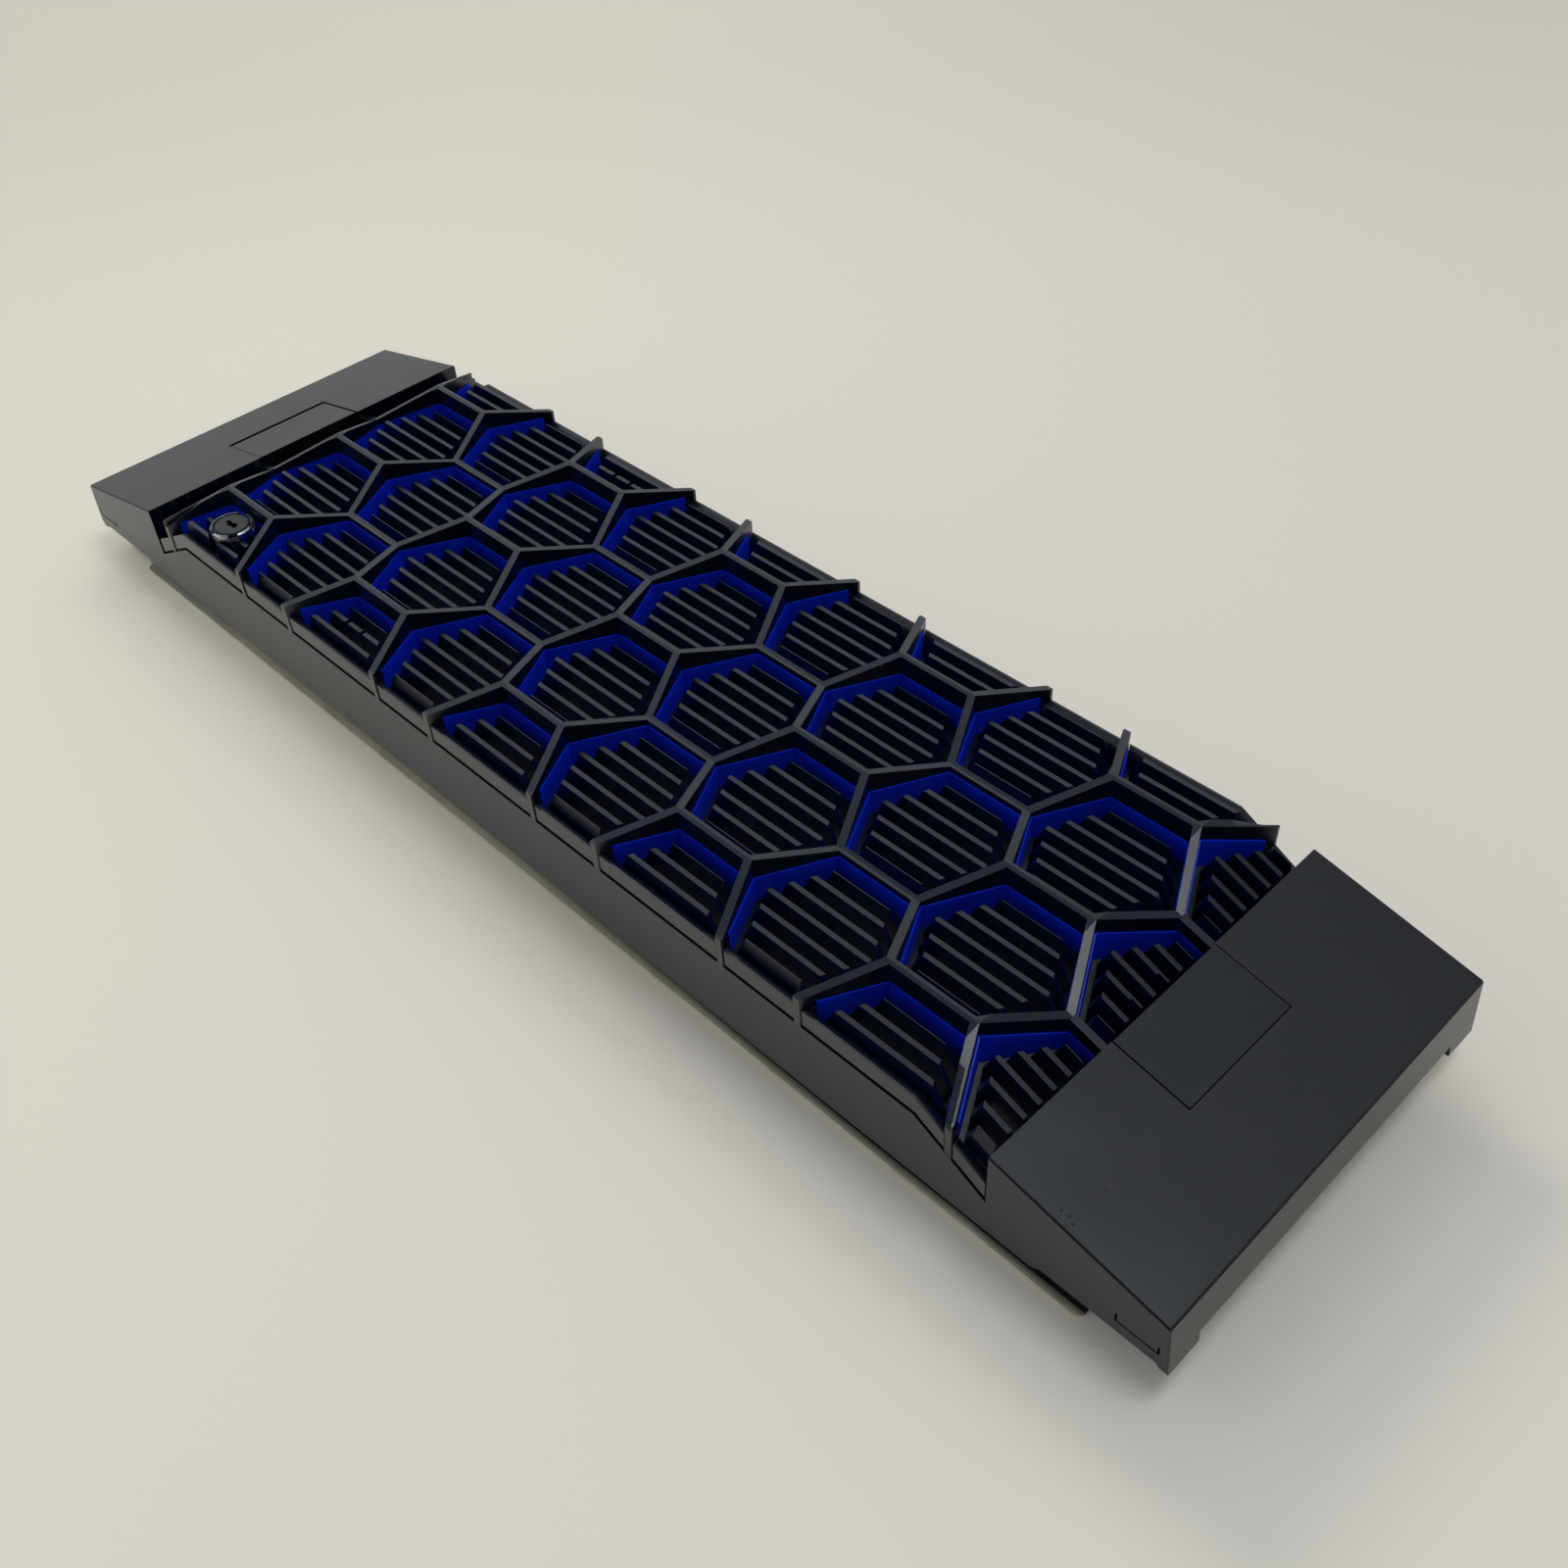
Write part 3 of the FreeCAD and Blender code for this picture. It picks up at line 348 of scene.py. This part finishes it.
    def streaked(self, stretch, gloss, edge):
        """Fine streaks of plated metal, in its gloss and its bump."""
        streaks = self.noise(STREAKS, 2.0, 0.5, stretch)
        self.feed("Roughness", self.ramp(streaks, 0.3, 0.7, *gloss))
        self.surface(streaks, STREAK_DEPTH, edge)
        return self.material


class Sky(Finish):
    """The world's node tree, with the direction of sight as its coordinates."""

    def __init__(self, name):
        self.world = bpy.data.worlds.new(name)
        self.world.use_nodes = True
        self.nodes = self.world.node_tree.nodes
        self.links = self.world.node_tree.links
        self.shader = self.nodes["Background"]
        self.coords = self.nodes.new("ShaderNodeTexCoord").outputs["Generated"]


def moulded_plastic(name, base, worn, gloss, depth, edge, specular=0.5):
    """Moulded plastic: one colour with faint mottling under a fine grain."""
    f = Finish(name).set(Specular_IOR_Level=specular)
    f.feed("Base Color", f.mottled(base, worn))
    return f.grained(gloss, depth, edge)


def cap_recess(f):
    """1 on what lies under a cap's top plane in the middle of the cap: the sides of the button and of the
    badge, which get painted shade."""
    level, edge, slope = CAP_TOP
    length = f.axis("X", True)
    plane = f.math("MULTIPLY", f.math("SUBTRACT", edge, length), slope)
    depth = f.math("SUBTRACT", f.math("ADD", plane, level), f.axis("Z"))
    middle = f.ramp(f.axis("Y", True), *reversed(RECESS_WIDTH))
    return f.product(f.band(length, *RECESS_LENGTH), middle, f.ramp(depth, *RECESS_DEPTH))


def frame_plastic():
    """Plastic of the caps, walls and grille: a bluish skin with a few scuffs and nicks on the caps, and a
    deeper black over the grille. The recesses round the button and the badge carry painted shade, near black.
    The rib ends above the seam are grey, a painted sheen. They, the caps, the walls and the grille's left end
    are smoother, and the recesses and nicks are rougher."""
    f = Finish("frame_plastic")
    length = f.axis("X", True)
    width = f.axis("Y", True)
    scuffs = f.ramp(f.noise(SCUFFS, 2.0, 0.5, (1.0, 2.2, 1.0)), 0.735, 0.765)
    skin = f.mix(scuffs, f.mottled(CAP_BLACK, CAP_BLACK_WORN), SCUFF)
    sunk = cap_recess(f)
    # Painted shade on the sides of the button and the badge below the cap's top plane
    skin = f.mix(sunk, skin, PAINTED_GAP_SHADE)
    nicks = [f.ramp(f.distance(x, y), radius, NICK_HEART * radius) for x, y, radius in NICKS]
    for nick in nicks:
        skin = f.mix(nick, skin, NICK_BLACK)
    rib_end = f.product(f.ramp(width, *RIB_END_WIDTH), f.ramp(f.axis("Z"), *RIB_END_LEVEL),
                        f.ramp(length, *reversed(RIB_END_LENGTH)))
    # Painted sheen on the rib ends above the seam
    grille = f.mix(rib_end, f.mottled(GRILLE_BLACK, GRILLE_BLACK_WORN), RIM_SHEEN_GREY)
    cap = f.product(f.ramp(length, *CAP_LENGTH), f.ramp(width, *reversed(WALL_WIDTH)))
    f.feed("Base Color", f.mix(cap, grille, skin))
    wall = f.ramp(width, *WALL_WIDTH)
    left_end = f.band(f.axis("X"), *LEFT_END)
    polish = [(cap, 0.08), (wall, 0.10), (rib_end, 0.08), (left_end, 0.15), (sunk, -0.3)]
    polish += [(nick, -0.5) for nick in nicks]
    return f.grained(gloss=(0.29, 0.34), depth=0.000008, edge=0.00012, polish=polish)


def louvre_plastic():
    """Plastic of the slats, with painted blue bounce light from the liner on upright faces. The outer face of
    the rim, which shows between the ribs, is grey with a painted sheen, and smoother."""
    f = Finish("louvre_plastic")
    rim = f.ramp(f.axis("Y", True), *RIM_WIDTH)
    slat = f.mottled(LOUVRE_BLACK, LOUVRE_BLACK_WORN)
    # Painted blue bounce light from the liner on faces that do not look up
    slat = f.mix(f.ramp(f.facing("Z"), 0.1, 0.5), LOUVRE_BLUE_BOUNCE, slat)
    f.feed("Base Color", f.mix(rim, slat, RIM_SHEEN_GREY))
    return f.grained(gloss=(0.29, 0.35), depth=0.000008, edge=0.00012, polish=[(rim, 0.18)])


def screw_zinc():
    """Bright zinc plating, dull in patches."""
    f = Finish("screw_zinc").set(Metallic=1.0)
    f.feed("Base Color", f.stained(ZINC, ZINC_DULL))
    return f.streaked(stretch=(1, 1, 1), gloss=(0.25, 0.45), edge=0.0001)


def pan_sheet():
    """Dull plated sheet with stains in patches, pale underneath and at the flange's edge. Towards the fold
    the flange carries painted shade, and the sheet above the flange and a painted shadow line along the fold
    carry more. The line grows wider and, on the outside, darker to the right."""
    f = Finish("pan_sheet").set(Metallic=0.2)
    pale = f.stained(STEEL, STEEL_STAIN_AND_SHADE)
    width = f.axis("Y", True)
    to_right = f.ramp(f.axis("X"), *PAN_RIGHT)
    reach = f.math("SUBTRACT", width, f.math("MULTIPLY", to_right, PAN_LINE_GROWTH))
    # Painted shadow for the line along the fold and for the sheet above the flange, deepest on the outside to
    # the right
    line = f.mix(f.product(f.ramp(width, *PAN_OUTSIDE), to_right), STEEL_FOLD_SHADE, STEEL_SHADED)
    # Painted shade on the flange, from the fold out to its pale edge
    flange = f.mix(f.ramp(reach, *PAN_SHADE_EDGE), f.mix(to_right, STEEL_STAIN_AND_SHADE, STEEL_FOLD_SHADE), pale)
    flange = f.mix(f.ramp(reach, *PAN_LINE), line, flange)
    sheet = f.mix(f.ramp(f.axis("Z"), *PAN_TOP), flange, line)
    f.feed("Base Color", f.mix(f.ramp(f.facing("Z"), -0.3, -0.6), sheet, pale))
    return f.streaked(stretch=(1, 12, 12), gloss=(0.5, 0.65), edge=0.0002)


def lock_plating():
    """Dark nickel on the collar's flat rim and other faces that look up, bright on its chamfer and its
    upright sides.
    """
    f = Finish("lock_plating").set(Metallic=1.0)
    f.feed("Base Color", f.mix(f.ramp(f.facing("Z"), 0.95, 0.85), NICKEL, NICKEL_BRIGHT))
    f.feed("Roughness", f.ramp(f.noise(PLATING_CLOUDS), 0.3, 0.7, 0.22, 0.32))
    f.surface(f.noise(PLATING_GRAIN, 2.0), depth=0.000005, edge=0.0001)
    return f.material


def plug_coating():
    """Dark coating on the plug, rougher at the edge of its round head, where painted shadow darkens the gap
    round it.
    """
    f = Finish("plug_coating")
    low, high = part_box("lock_plug")
    radius = (high[0] - low[0]) / 2
    from_axis = f.distance((low[0] + high[0]) / 2, (low[1] + high[1]) / 2)
    # Painted shadow in the gap round the edge of the plug's head
    edge = f.ramp(from_axis, PLUG_SHADOW_RING[0] * radius, PLUG_SHADOW_RING[1] * radius)
    f.feed("Base Color", f.mix(edge, f.mottled(PLUG_GREY, PLUG_GREY_WORN), PAINTED_GAP_SHADE))
    return f.grained(gloss=(0.32, 0.38), depth=0.000005, edge=0.0001, polish=[(edge, -0.4)])


def object_shade(f):
    """1 under the object, and less in its shadow, which reaches out in front and to the right."""
    (left, front, _), (right, back, _) = CAD_BOX
    x = f.axis("X")
    y = f.axis("Y")
    under = f.product(f.band(x, left + FLOOR_SOFT, right - FLOOR_SOFT, FLOOR_SOFT),
                      f.band(y, front + FLOOR_SOFT, back - FLOOR_SOFT, FLOOR_SOFT))
    full, end = SHADE_RIGHT
    along = f.product(f.ramp(x, left, left + full), f.ramp(x, right + end, right + full))
    near_full, near_end = SHADE_NEAR
    across = f.product(f.ramp(y, front - near_end, front - near_full), f.ramp(y, back, back - full))
    depth = f.ramp(x, left, right / 2, *SHADE_DEPTH)
    return f.math("MAXIMUM", under, f.product(along, across, depth))


def floor_finish():
    """Pale matt sheet, lighter to the camera's left and a little darker far ahead, both painted light and
    shade. Where it is seen directly or mirrored it is lifted a little: more low on the backdrop, less in the
    object's shadow, and not at all under the object."""
    f = Finish("floor_pale").set(Roughness=0.6, Specular_IOR_Level=0.2)
    height = f.axis("Z")
    foot = f.ramp(height, *BACKDROP_FOOT)
    # Painted light and shade on the floor: paler to the camera's left, darker to the right and far ahead
    tone = f.mix(f.ramp(f.along(FLOOR_TURN), *FLOOR_ACROSS), FLOOR_PALE, FLOOR_SHADE)
    tone = f.mix(f.ramp(f.along(AHEAD), *FLOOR_AHEAD, 0.0, FLOOR_FADE), tone, UNLIT)
    tone = f.mix(foot, tone, BACKDROP_PALE)
    f.feed("Base Color", tone)
    f.feed("Emission Color", tone)
    path = f.nodes.new("ShaderNodeLightPath").outputs
    mirrored = f.math("ADD", path["Is Glossy Ray"], path["Is Transmission Ray"])
    seen = f.math("ADD", path["Is Camera Ray"], mirrored)
    backdrop = f.product(foot, f.ramp(height, *reversed(BACKDROP_HEAD)))
    floor_lift = f.ramp(object_shade(f), 0.0, 1.0, FLOOR_LIFT, 0.0)
    lift = f.math("ADD", floor_lift, f.math("MULTIPLY", backdrop, WALL_LIFT))
    f.feed("Emission Strength", f.product(seen, lift))
    f.surface(f.noise(FLOOR_GRAIN), depth=0.00002)
    return f.material


def assign(node, material):
    slots = NODES[node].data.materials
    slots.clear()
    slots.append(material)


def dress_nodes():
    """Gives each CAD node its finish, and adds the springs."""
    blue = moulded_plastic("liner_plastic", LINER_BLUE, LINER_BLUE_DEEP,
                           gloss=(0.36, 0.42), depth=0.000005, edge=0.0001, specular=0.25)
    badge = moulded_plastic("badge_plastic", BADGE_SLATE, BADGE_SLATE_WORN,
                            gloss=(0.21, 0.25), depth=0.000004, edge=0.0001)
    latch = moulded_plastic("latch_plastic", LATCH_GREY, LATCH_GREY_WORN,
                            gloss=(0.4, 0.5), depth=0.00001, edge=0.00015)
    zinc = screw_zinc()
    finishes = (
        (frame_plastic(), ("bezel_frame", "release_button")),
        (louvre_plastic(), ("louvre_panel", "latch_carrier", "hook_bracket")),
        (blue, ("accent_liner",)),
        (badge, ("badge_plate",)),
        (latch, ("latch_slider",)),
        (pan_sheet(), ("backing_pan",)),
        (zinc, ("backing_screws", "carrier_screws", "cam_screw", "lock_cam", "lock_clip")),
        (lock_plating(), ("lock_housing",)),
        (plug_coating(), ("lock_plug",)),
    )
    for material, nodes in finishes:
        for node in nodes:
            assign(node, material)
    for node in SPRING_NODES:
        add_spring(node, zinc)


def grid_mesh(name, points, tube=False):
    """Smooth quads over a grid of points, given as an array of rows, columns and three coordinates. The rows
    of a tube are closed rings, and the first and the last have a flat cap."""
    rows, columns = points.shape[:2]
    index = np.arange(rows * columns).reshape(rows, columns)
    beside = np.roll(index, -1, axis=1)
    last = columns if tube else columns - 1
    corners = [index[:-1, :last], beside[:-1, :last], beside[1:, :last], index[1:, :last]]
    quads = np.stack(corners, axis=-1).reshape(-1, 4).tolist()
    caps = [index[0, ::-1].tolist(), index[-1].tolist()] if tube else []
    mesh = bpy.data.meshes.new(name)
    mesh.from_pydata(points.reshape(-1, 3), [], quads + caps)
    mesh.polygons.foreach_set("use_smooth", [True] * len(quads) + [False] * len(caps))
    mesh.update()
    return mesh


def add_mesh(name, mesh, material):
    piece = bpy.data.objects.new(name, mesh)
    bpy.context.scene.collection.objects.link(piece)
    piece.data.materials.append(material)
    return piece


def add_spring(node, material):
    """Round wire on a helix that fills the node's box. Its centre line at turn t is the radius times (cos t,
    sin t), rising evenly, and each ring lies across that line."""
    low, high = (np.array(corner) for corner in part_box(node))
    middle = (low + high) / 2
    radius = (high[0] - low[0]) / 2 - SPRING_WIRE
    rise = high[2] - low[2] - 2 * SPRING_WIRE
    turn = np.linspace(0, 2 * math.pi * SPRING_TURNS, SPRING_RINGS * SPRING_TURNS + 1)[:, None]
    outward = np.concatenate([np.cos(turn), np.sin(turn), 0 * turn], axis=1)
    climb = turn / turn[-1] * rise
    foot = np.array([middle[0], middle[1], low[2] + SPRING_WIRE])
    centre = foot + radius * outward + climb * np.array([0, 0, 1])
    pitch = rise / turn[-1, 0]
    along = np.concatenate([-radius * np.sin(turn), radius * np.cos(turn), 0 * turn + pitch], axis=1)
    across = np.cross(outward, along / np.linalg.norm(along, axis=1, keepdims=True))
    round_wire = np.linspace(0, 2 * math.pi, WIRE_SIDES, endpoint=False)[None, :, None]
    section = np.cos(round_wire) * outward[:, None] - np.sin(round_wire) * across[:, None]
    name = node + "_wire"
    wire = grid_mesh(name, centre[:, None] + SPRING_WIRE * section, tube=True)
    spring = add_mesh(name, wire, material)
    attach(spring, "bezel")
    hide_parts(node)
    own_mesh(spring)


def add_floor():
    """Floor that curves up into a backdrop: flat to the far edge, then a quarter circle, whose point at turn
    t is the bend times (sin t, 1 - cos t), then upright."""
    turn = np.linspace(0, math.pi / 2, BEND_POINTS)
    ahead = np.concatenate([[-FLOOR_REACH], FLOOR_FAR + FLOOR_BEND * np.sin(turn), [FLOOR_FAR + FLOOR_BEND]])
    height = np.concatenate([[0.0], FLOOR_BEND * (1 - np.cos(turn)), [FLOOR_RISE]]) - FLOOR_DROP
    across = np.array([-FLOOR_REACH, FLOOR_REACH])
    forward = np.array([math.cos(AHEAD), math.sin(AHEAD)])
    side = np.array([forward[1], -forward[0]])
    plan = ahead[:, None, None] * forward + across[None, :, None] * side
    points = np.concatenate([plan, np.broadcast_to(height[:, None, None], plan.shape[:2] + (1,))], axis=2)
    floor = add_mesh("floor", grid_mesh("floor", points), floor_finish())


def add_lamp(name, direction, distance, size, radiance):
    """Soft rectangular lamp that faces the object from a direction, with a stated radiance."""
    data = bpy.data.lights.new(name, "AREA")
    data.shape = "RECTANGLE"
    data.size, data.size_y = size
    data.energy = radiance * math.pi * size[0] * size[1]
    data.color = DAYLIGHT
    lamp = bpy.data.objects.new(name, data)
    place = Vector(direction).normalized() * distance
    lamp.matrix_world = Matrix.Translation(place) @ place.to_track_quat("Z", "Y").to_matrix().to_4x4()
    bpy.context.scene.collection.objects.link(lamp)


def add_light():
    """Even light all round, dimmer at the right front and brighter in two patches: to the left below the
    ceiling, and high at the back. One soft lamp stands at the back left and one hangs overhead. Seen
    directly, the sky is plain and pale."""
    sky = Sky("studio")
    height = sky.axis("Z")
    left = sky.product(sky.ramp(sky.axis("X"), *LEFT_STEP), sky.ramp(height, *LEFT_TOP))
    back = sky.product(sky.ramp(sky.axis("Y"), *BACK_STEP), sky.ramp(height, *BACK_FOOT))
    glow = sky.ramp(sky.along(LIT_SIDE), *LIT_SIDE_STEP, SKY_FRONT, SKY_LOW)
    for patch, radiance in ((left, SKY_HIGH), (back, SKY_BACK)):
        glow = sky.math("MAXIMUM", glow, sky.ramp(patch, 0.0, 1.0, 0.0, radiance))
    seen = sky.nodes.new("ShaderNodeLightPath").outputs["Is Camera Ray"]
    unseen = sky.product(glow, sky.math("SUBTRACT", 1.0, seen))
    sky.feed("Color", sky.mix(seen, DAYLIGHT + (1,), SKY_SEEN))
    sky.feed("Strength", sky.math("ADD", unseen, seen))
    bpy.context.scene.world = sky.world
    add_lamp("key_back_left", direction=(-0.63, 0.48, 0.61), distance=2.4, size=(2.8, 1.7), radiance=0.43)
    add_lamp("ceiling", direction=(0.25, 0.12, 0.961), distance=1.8, size=(0.62, 0.62), radiance=6.2)


def add_camera():
    """Camera that looks back along its azimuth and elevation, turned by the photograph's roll."""
    a, e = CAMERA_AZIMUTH, CAMERA_ELEVATION
    back = Vector((math.sin(a) * math.cos(e), -math.cos(a) * math.cos(e), math.sin(e)))
    level = Vector((math.cos(a), math.sin(a), 0))
    upright = back.cross(level)
    right = level * math.cos(CAMERA_ROLL) + upright * math.sin(CAMERA_ROLL)
    up = back.cross(right)
    data = bpy.data.cameras.new("camera")
    data.sensor_width = SENSOR
    data.lens = CAMERA_LENS
    data.clip_start = CAMERA_CLIP
    camera = bpy.data.objects.new("camera", data)
    turn = Matrix((right, up, back)).transposed().to_4x4()
    camera.matrix_world = Matrix.Translation(CAMERA_PLACE) @ turn
    bpy.context.scene.collection.objects.link(camera)
    bpy.context.scene.camera = camera


dress_nodes()
add_floor()
add_light()
add_camera()
bpy.context.scene.view_settings.view_transform = "Standard"
